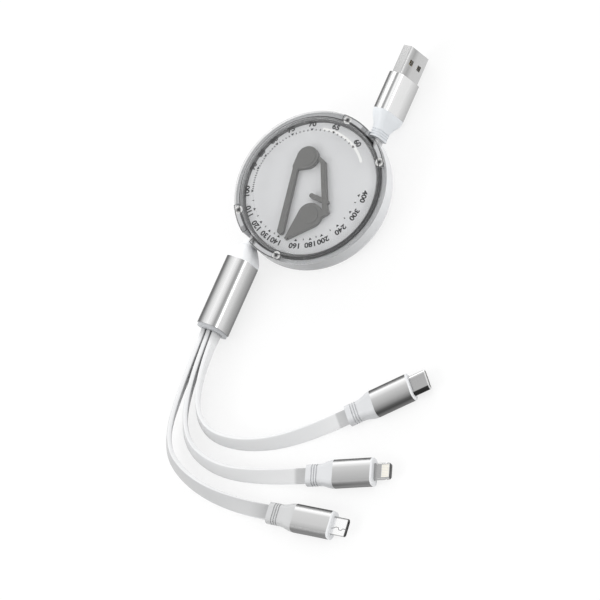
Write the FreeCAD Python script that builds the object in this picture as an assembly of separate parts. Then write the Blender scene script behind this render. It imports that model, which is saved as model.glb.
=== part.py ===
import FreeCAD, Part
import math
import os

# Multi charging cable on a round reel case. Millimetres, floor at z = 0, reel axis on z,
# the wide plug leaves along +x and the three-way tail leaves along -x.

# case
case_r = 31.5
case_wall = 1.9
case_floor = 1.4
bottom_round = 5.4
exit_offset = 16.2
exit_neck = (8.0, 4.8, 2.0)
notch_w = 3.2
notch_deep = 0.6
slot_ease = 1.4
rib_w = 1.2
rib_at = (50, 90, 130)

# clear cover
cover_thick = 1.4
cover_rise = 3.8
rim_w = 2.8
rim_h = 1.8
rim_soft = 0.35
groove_from = 0.9
groove_to = 1.35
groove_deep = 0.25
lug_h = 0.55
lug_from = 4.5
lug_to = 28.0
tail_lug_to = 34.4
screw_back = 4.6
scale_band = 4.0
face_step = 0.15

# dial and its flat levers
dial_t = 0.8
deck_t = 1.0
deck_gap = 1.4
deck_clear = 0.4
deck_border = 0.9
lever_t = 1.9
boss_t = 0.2

# screws in the lugs
screw_r = 0.55
head_r = 1.05
head_t = 0.6
screw_l = 4.6
boss_wall = 0.75
sink = 0.1
cross_l = 1.3
cross_w = 0.3

# reel, wound cord and spring
post_r = 2.6
reel_bottom = 2.0
flange_t = 1.0
flange_gap = 1.1
drum_r = 11.4
drum_wall = 1.3
wound_gap = 3.1
spring_t = 0.3
spring_turns = 6
web_holes = 6

# flat cords, wide side first
lead_w = 5.4
lead_t = 1.5
cord_w = 6.0
cord_t = 2.0
cord_gap = 0.4

# wide plug
wide_roll = 13.0
tail_gap = 0.185
wide_neck = 3.4
wide_flare = 7.1
wide_sleeve = (13.9, 7.6, 2.6, 15.4)
wide_shell = (12.0, 4.5, 0.55, 11.75)
shell_t = 0.3
window = 2.1
window_pitch = 5.2
window_back = 5.6
wide_pads = (8.2, 1.6, 1.0, 0.15)
tongue_back = 0.5

# three-way splitter
split_sleeve = (14.0, 10.6, 4.0, 28.3)
split_neck = (8.0, 4.2, 1.9)
split_stub = 1.4
split_flare = 8.4
split_cap = 1.2

# small plugs
small_neck = (8.4, 4.9, 2.1)
small_relief = 11.2
small_ribs = 5.4
small_sleeve = (10.8, 6.2, 2.4, 15.2)
small_collar = 0.8
skin = 0.4
tip_root = 2.4
type_c_tip = (8.34, 2.56, 6.65)
eight_pin_tip = (6.7, 1.5, 6.7)
micro_b_tip = (6.85, 1.85, 5.9)
tab_corner = 1.3
dent_r = 0.62
inlay_ends = (3.7, 0.6)
inlay_share = 0.74
inlay_deep = 0.2
tab_pad = (0.4, 0.04)
type_c_pin = (0.28, 0.1)
micro_b_leaf = (0.32, 0.12)
micro_b_barb = (1.2, 0.6, 0.35)

# ribs on the necks
rib_n = 3
rib_pitch = 1.0
rib_deep = 0.35

# where the small plugs start on the floor, and which way they point
type_c_at = (-78.0, -51.1, -46.5)
eight_pin_at = (-104.5, -45.5, -68.6)
micro_b_at = (-122.7, -37.0, -82.1)

# clearances
run_fit = 0.06
loose = 0.3
glue = 0.05

V = FreeCAD.Vector
zero = V(0, 0, 0)
up = V(0, 0, 1)
along = V(1, 0, 0)

inner_r = case_r - case_wall
rim_in = case_r - rim_w
deck_r = inner_r - deck_gap
dial_r = deck_r - deck_border
cord_z = reel_bottom + flange_t
deck_z = cord_z + lead_w + deck_clear
split_z = deck_z + deck_t + dial_t
cover_top = split_z + cover_rise
cover_under = cover_top - cover_thick
rim_top = split_z + rim_h
lug_top = rim_top + lug_h
screw_at = case_r - screw_r - 2 * boss_wall + rim_soft
flange_r = deck_r - flange_gap
wound_r = flange_r - wound_gap
face_r = rim_in - 1.05 * (cover_top - rim_top)
face_step_r = face_r - scale_band
wide_tail = math.sqrt(case_r ** 2 - exit_offset ** 2) + tail_gap
exit_angle = -math.degrees(math.asin(exit_offset / case_r))
slot_w = exit_neck[1] + slot_ease
half_flat = wide_sleeve[0] / 2 - wide_sleeve[2]
half_thin = wide_sleeve[1] / 2 - wide_sleeve[2]
roll = math.radians(wide_roll)
wide_z = half_flat * math.cos(roll) + half_thin * math.sin(roll) + wide_sleeve[2]
tail_z = split_sleeve[0] / 2
small_z = small_sleeve[1] / 2

nodes = {}


def polar(r, deg, z=0.0):
    a = math.radians(deg)
    return V(r * math.cos(a), r * math.sin(a), z)


def disc(r, z0, z1, at=zero):
    return Part.makeCylinder(r, z1 - z0, V(at.x, at.y, z0), up)


def block(x0, x1, y0, y1, z0, z1):
    return Part.makeBox(x1 - x0, y1 - y0, z1 - z0, V(x0, y0, z0))


def turned(shape, deg):
    out = shape.copy()
    out.rotate(zero, up, deg)
    return out


def joined(shapes):
    out = shapes[0].multiFuse(shapes[1:]) if len(shapes) > 1 else shapes[0]
    return out.removeSplitter()


def spun(points):
    # closed outline in r and z turned about the axis, four numbers mean an arc through a point
    edges = []
    last = V(points[0][0], 0, points[0][1])
    first = last
    for p in points[1:]:
        here = V(p[0], 0, p[1])
        if len(p) == 4:
            edges.append(Part.Arc(last, V(p[2], 0, p[3]), here).toShape())
        else:
            edges.append(Part.makeLine(last, here))
        last = here
    edges.append(Part.makeLine(last, first))
    return Part.Face(Part.Wire(edges)).revolve(zero, up, 360)


def outline(size, x, grow=0.0):
    # rounded rectangle across the plug's axis: wide along y, thin along z
    w, t, r = size[0] + 2 * grow, size[1] + 2 * grow, size[2] + grow
    a, b, k = w / 2 - r, t / 2 - r, r * math.sqrt(0.5)
    arcs = []
    for i, (sy, sz) in enumerate(((1, 1), (-1, 1), (-1, -1), (1, -1))):
        side = V(x, sy * (a + r), sz * b)
        top = V(x, sy * a, sz * (b + r))
        mid = V(x, sy * (a + k), sz * (b + k))
        arcs.append((side, mid, top) if i % 2 == 0 else (top, mid, side))
    edges = []
    for i, (start, mid, end) in enumerate(arcs):
        edges.append(Part.Arc(start, mid, end).toShape())
        follow = arcs[(i + 1) % 4][0]
        if end.distanceToPoint(follow) > 1e-6:
            edges.append(Part.makeLine(end, follow))
    return Part.Wire(edges)


def bar(size, x0, x1, grow=0.0):
    return Part.Face(outline(size, x0, grow)).extrude(V(x1 - x0, 0, 0))


def mixed(a, b, s):
    return tuple(p + (q - p) * s for p, q in zip(a, b))


def flare(small, large, x0, x1, bulge):
    # moulded transition: bulge 0 gives an S curve, bulge 1 a dome
    wires = []
    for i in range(5):
        s = i / 4
        soft = s * s * (3 - 2 * s)
        dome = math.sqrt(1 - (1 - s) ** 2)
        wires.append(outline(mixed(small, large, soft + (dome - soft) * bulge), x0 + (x1 - x0) * s))
    return Part.makeLoft(wires, True, False)


def ribbed(size, x0, x1, first):
    # neck with fine grooves, their pitch and depth shared by all reliefs
    out = bar(size, x0, x1)
    for i in range(rib_n):
        at = first + i * rib_pitch
        ring = bar(size, at, at + rib_pitch / 2, 1.0).cut(bar(size, at, at + rib_pitch / 2, -rib_deep))
        out = out.cut(ring)
    return out


def hull(a, ra, b, rb):
    # two circles in plan with their outer tangents
    base = math.atan2(b[1] - a[1], b[0] - a[0])
    off = math.acos((ra - rb) / math.hypot(b[0] - a[0], b[1] - a[1]))

    def on(c, r, t):
        return V(c[0] + r * math.cos(t), c[1] + r * math.sin(t), 0)

    edges = [
        Part.Arc(on(a, ra, base + off), on(a, ra, base + math.pi), on(a, ra, base - off)).toShape(),
        Part.makeLine(on(a, ra, base - off), on(b, rb, base - off)),
        Part.Arc(on(b, rb, base - off), on(b, rb, base), on(b, rb, base + off)).toShape(),
        Part.makeLine(on(b, rb, base + off), on(a, ra, base + off)),
    ]
    return Part.Face(Part.Wire(edges))


def flat_cord(name, points, thick, z0, z1):
    # cord on edge: straight runs joined by tangent arcs, offset half the thickness to each side
    sides = {1: [], -1: []}
    here = {}
    pts = [V(p[0], p[1], 0) for p in points]
    length = 0.0
    radii = []
    start_dir = (pts[1] - pts[0]).normalize()
    for s in sides:
        here[s] = pts[0] + V(-start_dir.y, start_dir.x, 0) * (s * thick / 2)
    begin = dict(here)
    last = pts[0]
    for before, corner, after in zip(pts, pts[1:], pts[2:]):
        d1, d2 = corner - before, after - corner
        run = 0.45 * min(d1.Length, d2.Length)
        d1.normalize()
        d2.normalize()
        turn = math.atan2(d1.x * d2.y - d1.y * d2.x, d1.dot(d2))
        radius = run / math.tan(abs(turn) / 2)
        hand = 1 if turn > 0 else -1
        n1, n2 = V(-d1.y, d1.x, 0), V(-d2.y, d2.x, 0)
        arc_in, arc_out = corner - d1 * run, corner + d2 * run
        centre = arc_in + n1 * (hand * radius)
        out = (corner - centre).normalize()
        for s in sides:
            a = arc_in + n1 * (s * thick / 2)
            b = arc_out + n2 * (s * thick / 2)
            mid = centre + out * (radius - hand * s * thick / 2)
            sides[s].append(Part.makeLine(here[s], a))
            sides[s].append(Part.Arc(a, mid, b).toShape())
            here[s] = b
        length += last.distanceToPoint(arc_in) + radius * abs(turn)
        last = arc_out
        radii.append(round(radius, 1))
    end_dir = (pts[-1] - pts[-2]).normalize()
    for s in sides:
        end = pts[-1] + V(-end_dir.y, end_dir.x, 0) * (s * thick / 2)
        sides[s].append(Part.makeLine(here[s], end))
        here[s] = end
    length += last.distanceToPoint(pts[-1])
    caps = [Part.makeLine(begin[1], begin[-1]), Part.makeLine(here[1], here[-1])]
    face = Part.Face(Part.Wire(Part.__sortEdges__(sides[1] + sides[-1] + caps)))
    face.translate(V(0, 0, z0))
    print(name, "cord length", round(length, 1), "bend radii", radii)
    return face.extrude(V(0, 0, z1 - z0)), length


def sloped(tall, y0, z0, y1, z1, high):
    # keep the part of a tall cord that lies between two slopes
    rate = (z1 - z0) / (y1 - y0)
    ya, yb = min(y0, y1) - 20, max(y0, y1) + 20
    corners = []
    for y, h in ((ya, -high / 2), (yb, -high / 2), (yb, high / 2), (ya, high / 2)):
        corners.append(V(-300, y, z0 + rate * (y - y0) + h))
    slab = Part.Face(Part.makePolygon(corners + corners[:1])).extrude(V(600, 0, 0))
    return tall.common(slab)


def put(name, *shapes):
    solids = [s for shape in shapes for s in shape.Solids]
    for s in solids:
        if not s.isValid() or s.Volume <= 0:
            print("bad solid in", name)
    nodes[name] = solids[0] if len(solids) == 1 else Part.makeCompound(solids)
    print(name, len(solids), round(sum(s.Volume for s in solids), 2))


def exits(shape):
    return [shape, turned(shape, 180)]


def slot_block(z0, z1):
    # clear way for a lead through the rim on the wide plug's side
    return block(exit_offset, 2 * case_r, -exit_offset - slot_w / 2, -exit_offset + slot_w / 2, z0, z1)


def lug_spots():
    # start and end angle of each lug and the centre of its screw, one of the tail's lugs is longer
    spots = []
    for base, side, far in ((0, -1, lug_to), (0, 1, lug_to), (180, -1, lug_to), (180, 1, tail_lug_to)):
        near, end = exit_angle + base + side * lug_from, exit_angle + base + side * far
        spots.append((min(near, end), max(near, end), polar(screw_at, end - side * screw_back)))
    return spots


# rear shell: rounded dish with the reel post, deck ribs, screw pillars and the two cord slots
def rear_shell():
    q = bottom_round * (1 - math.sqrt(0.5))
    f = bottom_round - case_wall
    g = f * (1 - math.sqrt(0.5))
    outer = [(0, 0), (case_r - bottom_round, 0), (case_r, bottom_round, case_r - q, q), (case_r, split_z)]
    inner = [(inner_r, split_z), (inner_r, case_floor + f)]
    inner += [(inner_r - f, case_floor, inner_r - g, case_floor + g), (0, case_floor)]
    dish = spun(outer + inner)
    outside = spun(outer + [(0, split_z)])
    extra = [disc(post_r, case_floor / 2, deck_z)]
    rib = block(flange_r + loose, inner_r + case_wall / 2, -rib_w / 2, rib_w / 2, case_floor / 2, deck_z)
    for step in rib_at:
        extra += exits(turned(rib, exit_angle + step))
    pilots = []
    for _, _, at in lug_spots():
        extra.append(disc(screw_r + boss_wall, case_floor / 2, split_z, at))
        pilots.append(disc(screw_r + glue, split_z - screw_l, split_z + 1, at))
    body = joined([dish] + [piece.common(outside) for piece in extra])
    slot = slot_block(cord_z - deck_clear, split_z + 1)
    hook = block(post_r / 3, 2 * post_r, -spring_t - 0.1, 0.1, cord_z, deck_z + 1)
    return body.cut(Part.makeCompound(exits(slot) + pilots + [hook]))


# clear cover: printed face, rounded shoulder, stepped rim and the lugs beside the two slots
def clear_cover():
    shoulder = cover_top - rim_top
    k = math.sqrt(0.5)
    low = rim_top - groove_deep
    r1, r2 = case_r - groove_from, case_r - groove_to
    dome = spun([
        (0, cover_under), (0, cover_top + face_step), (face_step_r - face_step, cover_top + face_step),
        (face_step_r, cover_top), (face_r, cover_top),
        (rim_in, rim_top, face_r + (rim_in - face_r) * k, rim_top + shoulder * k),
        (r2, rim_top), (r2, low), (r1, low), (r1, rim_top),
        (case_r - rim_soft, rim_top), (case_r, rim_top - rim_soft),
        (case_r, split_z + glue), (rim_in, split_z + glue),
        (face_r - 0.5, cover_under, rim_in - 0.62, cover_under - 0.62),
    ])
    ring = disc(case_r, low, lug_top).cut(disc(rim_in + rim_soft, rim_top - 1, lug_top + 1))
    lugs = []
    cuts = []
    reach = 2 * case_r
    for first, last, at in lug_spots():
        wedge = Part.makePolygon([zero, polar(reach, first), polar(reach, last), zero])
        lugs.append(ring.common(Part.Face(wedge).extrude(V(0, 0, 2 * lug_top))))
        cuts.append(disc(screw_r + loose / 2, split_z - 1, lug_top + 1, at))
        cuts.append(disc(head_r + loose / 2, lug_top - head_t - sink, lug_top + 1, at))
    body = joined([dome] + lugs)
    mouth = slot_block(split_z - 1, lug_top + 1)
    cuts += exits(mouth.cut(disc(rim_in + rim_soft, 0, 2 * lug_top)))
    nick = block(case_r - notch_deep, 2 * case_r, -notch_w / 2, notch_w / 2, split_z - 1, rim_top - 0.4)
    cuts += exits(turned(nick, exit_angle + 90))
    return body.cut(Part.makeCompound(cuts))


def lug_screws():
    screws = []
    low = lug_top - head_t - sink
    for _, _, at in lug_spots():
        head = disc(head_r, low, low + head_t, at)
        shank = disc(screw_r, split_z - screw_l + loose, low + sink, at)
        cross = []
        for turn in (0, 90):
            arm = block(-cross_l / 2, cross_l / 2, -cross_w / 2, cross_w / 2, low + head_t / 2, lug_top + 1)
            arm = turned(arm, turn + 20)
            arm.translate(V(at.x, at.y, 0))
            cross.append(arm)
        screws.append(joined([head, shank]).cut(Part.makeCompound(cross)))
    return screws


put("rear_shell", rear_shell())
put("clear_cover", clear_cover())
put("lug_screws", *lug_screws())
put("deck_plate", disc(deck_r, deck_z, deck_z + deck_t))
edge = dial_t / 4
put("dial_plate", spun([(0, split_z - dial_t), (dial_r, split_z - dial_t), (dial_r, split_z - edge),
                        (dial_r - edge, split_z), (0, split_z)]))

# flat levers on the dial: places are fractions of the dial radius
d = dial_r / 27.3
lobe_a, knee, end_a = (10.9 * d, 6.0 * d), (6.1 * d, 9.1 * d), (-20.1 * d, 3.7 * d)
lobe_b, point, horn = (-10.7 * d, -5.3 * d), (-22.2 * d, 0.3 * d), (-7.4 * d, -11.9 * d)
link_a, link_b, link_top = (10.6 * d, -1.3 * d), (-7.9 * d, -11.0 * d), (11.7 * d, 0.5 * d)
strut_a, strut_b = (-3.1 * d, -2.6 * d), (-3.7 * d, -9.6 * d)


def lever(faces, boss, boss_r):
    plates = []
    for face in faces:
        face.translate(V(0, 0, split_z))
        plates.append(face.extrude(V(0, 0, lever_t)))
    plates.append(disc(boss_r, split_z, split_z + lever_t + boss_t, V(boss[0], boss[1], 0)))
    return joined(plates)


put("upper_lever", lever([hull(lobe_a, 4.5 * d, knee, 1.3 * d), hull(knee, 1.0 * d, end_a, 1.25 * d)],
                         lobe_a, 3.4 * d))
put("lower_lever", lever([hull(lobe_b, 5.0 * d, point, 0.4 * d), hull(lobe_b, 3.6 * d, horn, 0.5 * d),
                          hull(link_a, 1.0 * d, link_b, 1.0 * d), hull(link_top, 0.7 * d, link_a, 1.0 * d),
                          hull(strut_a, 0.9 * d, strut_b, 0.9 * d)],
                         lobe_b, 3.6 * d))

# reel: one flange, a drum round the spring and a bore on the post
drum_in = drum_r - drum_wall
drum_top = deck_z - 0.5
bore_r = post_r + run_fit
coil_r = bore_r + 0.7
coil_pitch = (drum_in - 0.7 - coil_r) / spring_turns


def reel():
    web = disc(flange_r, reel_bottom, cord_z)
    foot = disc(bore_r + 1.0, case_floor + run_fit, cord_z)
    drum = disc(drum_r, cord_z - 0.2, drum_top)
    body = joined([web, foot, drum.cut(disc(drum_in, cord_z - 0.3, drum_top + 1))])
    cuts = [disc(bore_r, 0, drum_top)]
    mid = (drum_r + flange_r) / 2
    for i in range(web_holes):
        cuts.append(disc((flange_r - drum_r) / 5, 0, drum_top, polar(mid, 360 / web_holes * (i + 0.5))))
    cuts.append(block(drum_in - 1, drum_r + 1, -0.1, spring_t, cord_z + 0.2, drum_top + 1))
    return body.cut(Part.makeCompound(cuts))


def clock_spring():
    # flat spiral of half circles whose centres step by half a pitch
    inner, outer = [], []
    h = spring_t / 2
    r = coil_r

    def half(cx, rad, lower):
        s = -1 if lower else 1
        return Part.Arc(V(cx + s * rad, 0, 0), V(cx, s * rad, 0), V(cx - s * rad, 0, 0)).toShape()

    for i in range(spring_turns):
        inner += [half(0, r - h, False), half(coil_pitch / 2, r + coil_pitch / 2 - h, True)]
        outer += [half(0, r + h, False), half(coil_pitch / 2, r + coil_pitch / 2 + h, True)]
        r += coil_pitch
    ends = [Part.makeLine(V(c - h, 0, 0), V(c + h, 0, 0)) for c in (coil_r, r)]
    face = Part.Face(Part.Wire(Part.__sortEdges__(inner + outer + ends)))
    low, high = cord_z + 0.3, drum_top - 0.4
    face.translate(V(0, 0, low))
    coil = face.extrude(V(0, 0, high - low))
    root = block(post_r / 2, coil_r + h, -spring_t, 0, low, high)
    tip = block(r - h, drum_in + drum_wall * 0.7, 0, spring_t, low, high)
    return joined([coil, root, tip])


put("reel", reel())
put("wound_cord", disc(wound_r, cord_z, cord_z + lead_w).cut(disc(drum_r + 0.05, 0, 2 * split_z)))
put("clock_spring", clock_spring())

# flat lead from the wound cord out through a slot: a tangent run, one bend, then the slot's own line
lead_r = wound_r + loose + lead_t / 2
bend = (wide_tail - 0.15 * case_r, -exit_offset)
reach = math.hypot(bend[0], bend[1])
touch = math.degrees(math.atan2(bend[1], bend[0]) - math.acos(lead_r / reach))
leave = polar(lead_r, touch)
lead_path = [(leave.x, leave.y), bend, (wide_tail, -exit_offset)]
lead = flat_cord("lead", lead_path, lead_t, cord_z, cord_z + lead_w)[0]
put("type_a_lead", lead)
put("tail_lead", turned(lead, 180))


def place(shape, x, y, z, heading, tip=0.0):
    out = shape.copy()
    out.rotate(zero, along, tip)
    out.rotate(zero, up, heading)
    out.translate(V(x, y, z))
    return out


def sheath(size, x0):
    # drawn aluminium sleeve, open at both ends
    return bar(size, x0, x0 + size[3]).cut(bar(size, x0 - 1, x0 + size[3] + 1, -skin))


def relief(neck, sleeve, x_ribs, x_flare, x_core, bulge, plain=False):
    # moulded relief with its ribbed neck, flare, lip and the core inside the sleeve
    lip = 0.5
    rim = (sleeve[0] - 0.1, sleeve[1] - 0.1, sleeve[2] - 0.05)
    first = max(0.6, x_ribs - rib_n * rib_pitch - 0.2)
    root = bar(neck, 0, x_ribs) if plain else ribbed(neck, 0, x_ribs, first)
    parts = [root, flare(neck, rim, x_ribs, x_flare - lip, bulge)]
    parts += [bar(rim, x_flare - lip, x_flare), bar(sleeve, x_flare - lip, x_core, -skin - glue)]
    return joined(parts)


# wide plug: on edge, leaning by its roll, standing on the floor
wide_at = (wide_tail, -exit_offset, wide_z, 0.0, 90.0 - wide_roll)
x_sleeve = wide_neck + wide_flare
x_front = x_sleeve + wide_sleeve[3]
x_mouth = x_front + wide_shell[3]
x_back = x_front - 2 * tip_root
boot = relief(exit_neck, wide_sleeve, wide_neck, x_sleeve, x_front - 0.2, 0.0)
fork = (2 * wide_sleeve[0], wide_shell[1] + 2 * glue, shell_t)
boot = boot.cut(bar(fork, x_back, x_front + 1))
hollow = (wide_shell[0] - 2 * shell_t, wide_shell[1] - 2 * shell_t, wide_shell[2] - shell_t / 2)
can = bar(wide_shell, x_back, x_mouth).cut(bar(hollow, x_back - 1, x_mouth + 1))
holes = []
for s in (-1, 1):
    y = s * window_pitch / 2
    x = x_mouth - window_back
    h = window / 2
    holes.append(block(x - h, x + h, y - h, y + h, -wide_shell[1], wide_shell[1]))
can = can.cut(Part.makeCompound(holes))
tongue_t = hollow[1] * 0.46
half_in = hollow[0] / 2 - glue
plate = block(x_back, x_mouth - tongue_back, -half_in, half_in, -hollow[1] / 2, tongue_t - hollow[1] / 2)
plate = plate.common(bar(hollow, x_back, x_mouth))
pads = []
near, far = x_mouth - wide_pads[0], x_mouth - wide_pads[1]
half_pad, z = wide_pads[2] / 2, tongue_t - hollow[1] / 2
for share in (-0.33, -0.088, 0.088, 0.33):
    y = share * hollow[0]
    pads.append(block(near, far, y - half_pad, y + half_pad, z, z + wide_pads[3]))
put("type_a_boot", place(boot, *wide_at))
put("type_a_sleeve", place(sheath(wide_sleeve, x_sleeve), *wide_at))
put("type_a_shell", place(can, *wide_at))
put("type_a_tongue", place(plate, *wide_at))
put("type_a_contacts", *[place(p, *wide_at) for p in pads])

# splitter: domed boot, long sleeve on edge and an end cap that the three cords leave
tail_at = (-wide_tail, exit_offset, tail_z, 180.0, 90.0)
x_split = split_flare
x_cap = x_split + split_sleeve[3]
cap_face = wide_tail + x_cap + split_cap
cap_rim = (split_sleeve[0] - 0.9, split_sleeve[1] - 0.9, split_sleeve[2] - 0.45)
boot = relief(split_neck, split_sleeve, split_stub, x_split, x_cap, 0.4, True)
put("splitter_boot", place(boot, *tail_at))
put("splitter_sleeve", place(sheath(split_sleeve, x_split), *tail_at))
put("splitter_cap", place(bar(cap_rim, x_cap, x_cap + split_cap), *tail_at))

# three flat cords on edge from the cap to the plugs
pitch = cord_t + cord_gap


def branch(name, row, corners, at, last_run):
    y0 = exit_offset + row * pitch
    run = math.radians(at[2])
    before = (at[0] - last_run * math.cos(run), at[1] - last_run * math.sin(run))
    points = [(-cap_face, y0), (-cap_face + corners[0], y0)]
    points += [(-cap_face + x, exit_offset + y) for x, y in corners[1:]]
    points += [before, (at[0], at[1])]
    tall, length = flat_cord(name, points, cord_t, -30, 60)
    solid = sloped(tall, y0, tail_z, at[1], max(small_z, cord_w / 2 + 0.05), cord_w)
    print(name, "section times length", round(cord_w * cord_t * length, 1))
    put(name, solid)


branch("type_c_cord", -1, (-19.0, (-37.0, -11.7), (-38.1, -30.0)), type_c_at, 21.0)
branch("eight_pin_cord", 0, (-20.5, (-43.0, -6.9), (-49.9, -24.1)), eight_pin_at, 17.0)
branch("micro_b_cord", 1, (-23.5, (-47.5, -0.8), (-57.0, -14.4)), micro_b_at, 17.0)

# small plugs: relief, sleeve, collar and tip, laid flat
x_rear = small_relief
x_nose = x_rear + small_sleeve[3]
x_tip = x_nose + small_collar
x_root = x_nose - tip_root
collar_size = (small_sleeve[0] - 0.6, small_sleeve[1] - 0.6, small_sleeve[2] - 0.3)


def small_plug(name, at, socket):
    # boot and collar are cut by the socket that holds the tip
    spot = (at[0], at[1], small_z, at[2])
    middle = x_nose + small_collar / 2
    body = relief(small_neck, small_sleeve, small_ribs, x_rear, x_nose, 0.0)
    front = flare(collar_size, small_sleeve[:3], x_tip, middle, 1.0)
    collar = joined([bar(small_sleeve, x_nose, middle), front])
    put(name + "_boot", place(body.cut(socket), *spot))
    put(name + "_sleeve", place(sheath(small_sleeve, x_rear), *spot))
    put(name + "_collar", place(collar.cut(socket), *spot))
    return spot


# reversible tip with a contact pocket
w, t, reach = type_c_tip
size = (w, t, t / 2 - 0.01)
spot = small_plug("type_c", type_c_at, bar(size, x_root, x_tip + 1, glue))
x1 = x_tip + reach
bore = (w - 2 * shell_t, t - 2 * shell_t, size[2] - shell_t)
shell = bar(size, x_root, x1).cut(bar(bore, x_root - 1, x1 + 1))
pocket = (w - 2.0, t * 0.42, t * 0.1)
block_in = bar(bore, x_root, x1 - tongue_back, -glue).cut(bar(pocket, x_tip + 1.0, x1))
pins = []
half_pin, pin_t = type_c_pin[0] / 2, type_c_pin[1]
for i in range(8):
    y = (i - 3.5) * (pocket[0] - 0.9) / 7
    for s in (-1, 1):
        low, high = sorted((s * pocket[1] / 2, s * (pocket[1] / 2 - pin_t)))
        pins.append(block(x_tip + 1.4, x1 - 1.3, y - half_pin, y + half_pin, low, high))
put("type_c_shell", place(shell, *spot))
put("type_c_insulator", place(block_in, *spot))
put("type_c_contacts", *[place(p, *spot) for p in pins])

# solid tab with side dents, an inlay and eight pads on each face
w, t, reach = eight_pin_tip
size = (w, t, t / 2 - 0.01)
spot = small_plug("eight_pin", eight_pin_at, bar(size, x_root, x_tip + 1, glue))
x1 = x_tip + reach
plan = block(x_root, x1, -w / 2, w / 2, -t, t)


def at_end(e):
    return abs(e.CenterOfMass.x - x1) < 1e-6 and abs(e.tangentAt(e.FirstParameter).z) > 0.9


plan = plan.makeFillet(tab_corner, [e for e in plan.Edges if at_end(e)])
tab = bar(size, x_root, x1).common(plan)
dents = [disc(dent_r, -t, t, V(x1 - 2.0, s * (w + dent_r) / 2, 0)) for s in (-1, 1)]
tab = tab.cut(Part.makeCompound(dents))
inlay, pads = [], []
inlay_w = w * inlay_share
near, far = x1 - inlay_ends[0], x1 - inlay_ends[1]
half_pad, pad_t = tab_pad[0] / 2, tab_pad[1]
for s in (-1, 1):
    low, high = sorted((s * t / 2, s * (t / 2 - inlay_deep)))
    inlay.append(block(near, far, -inlay_w / 2, inlay_w / 2, low, high))
    low, high = sorted((s * t / 2, s * (t / 2 + pad_t)))
    for i in range(8):
        y = (i - 3.5) * inlay_w / 8
        pads.append(block(near + half_pad, far - half_pad, y - half_pad, y + half_pad, low, high))
tab = tab.cut(Part.makeCompound(inlay))
put("eight_pin_tab", place(tab, *spot))
put("eight_pin_inlay", *[place(p, *spot) for p in inlay])
put("eight_pin_contacts", *[place(p, *spot) for p in pads])

# folded shell with two bevelled lower edges, a tongue, five contacts and two latch barbs below
w, t, reach = micro_b_tip
x1 = x_tip + reach
tongue_t = 0.6
floor_in = -t / 2 + shell_t


def folded(inset, a, b):
    y, z = w / 2 - inset, t / 2 - inset
    bevel = 0.42 * t
    pts = [V(a, y, z), V(a, -y, z), V(a, -y, -z + bevel)]
    pts += [V(a, -y + bevel, -z), V(a, y - bevel, -z), V(a, y, -z + bevel)]
    return Part.Face(Part.makePolygon(pts + pts[:1])).extrude(V(b - a, 0, 0))


spot = small_plug("micro_b", micro_b_at, folded(-glue, x_root, x_tip + 1))
shell = folded(0, x_root, x1).cut(folded(shell_t, x_root - 1, x1 + 1))
tongue = block(x_root, x1 - tongue_back, -w * 0.3, w * 0.3, floor_in, floor_in + tongue_t)
pads = []
half_leaf, leaf_t = micro_b_leaf[0] / 2, micro_b_leaf[1]
for i in range(5):
    y = (i - 2) * w * 0.095
    z = floor_in + tongue_t
    pads.append(block(x_tip + 0.8, x1 - 1.0, y - half_leaf, y + half_leaf, z, z + leaf_t))
barbs = []
barb_l, barb_w, barb_h = micro_b_barb
heel = x1 - 1.4
for s in (-1, 1):
    y, z = s * w * 0.26 - barb_w / 2, -t / 2
    ramp = [V(heel - barb_l, y, z), V(heel, y, z), V(heel - barb_l, y, z - barb_h)]
    barbs.append(Part.Face(Part.makePolygon(ramp + ramp[:1])).extrude(V(0, barb_w, 0)))
put("micro_b_shell", place(shell, *spot))
put("micro_b_tongue", place(tongue, *spot))
put("micro_b_contacts", *[place(p, *spot) for p in pads])
put("micro_b_latches", *[place(p, *spot) for p in barbs])

os.makedirs("parts", exist_ok=True)
for old in os.listdir("parts"):
    if old.endswith(".step") and old[:-5] not in nodes:
        os.remove(os.path.join("parts", old))
for name, shape in nodes.items():
    shape.exportStep(os.path.join("parts", name + ".step"))
print("nodes", len(nodes))
print("floor", round(min(s.BoundBox.ZMin for s in nodes.values()), 4))
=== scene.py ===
import math
import bpy
import numpy as np
from mathutils import Matrix, Vector


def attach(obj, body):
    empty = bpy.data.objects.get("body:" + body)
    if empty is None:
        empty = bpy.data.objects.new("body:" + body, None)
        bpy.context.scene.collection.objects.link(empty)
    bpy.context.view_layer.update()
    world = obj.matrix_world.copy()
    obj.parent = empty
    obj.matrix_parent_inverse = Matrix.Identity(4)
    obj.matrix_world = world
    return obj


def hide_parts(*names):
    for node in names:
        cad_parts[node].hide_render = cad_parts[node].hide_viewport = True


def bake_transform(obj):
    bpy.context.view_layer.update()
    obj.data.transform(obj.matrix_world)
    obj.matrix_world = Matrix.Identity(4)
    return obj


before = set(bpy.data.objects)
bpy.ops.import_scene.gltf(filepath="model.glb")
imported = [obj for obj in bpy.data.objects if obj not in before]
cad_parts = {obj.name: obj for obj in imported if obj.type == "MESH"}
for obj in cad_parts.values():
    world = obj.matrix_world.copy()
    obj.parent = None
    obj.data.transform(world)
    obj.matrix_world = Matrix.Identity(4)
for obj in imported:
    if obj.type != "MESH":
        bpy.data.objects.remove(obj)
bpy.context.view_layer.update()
scene = bpy.context.scene
scene.view_settings.view_transform = "Standard"
mmPerMetre = 1000
print("frame loaded:", len(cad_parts), "nodes")

# the photograph looks down at the case and is rolled, with the wide plug pointing up and right
shot = {"azimuth": -19.6, "elevation": 59.0, "roll": 49.0, "away": 1.5, "span": 0.2308,
        "aimHeight": 0.0106, "aimAcross": -0.0352, "aimUp": -0.0251, "clip": 10}


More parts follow.
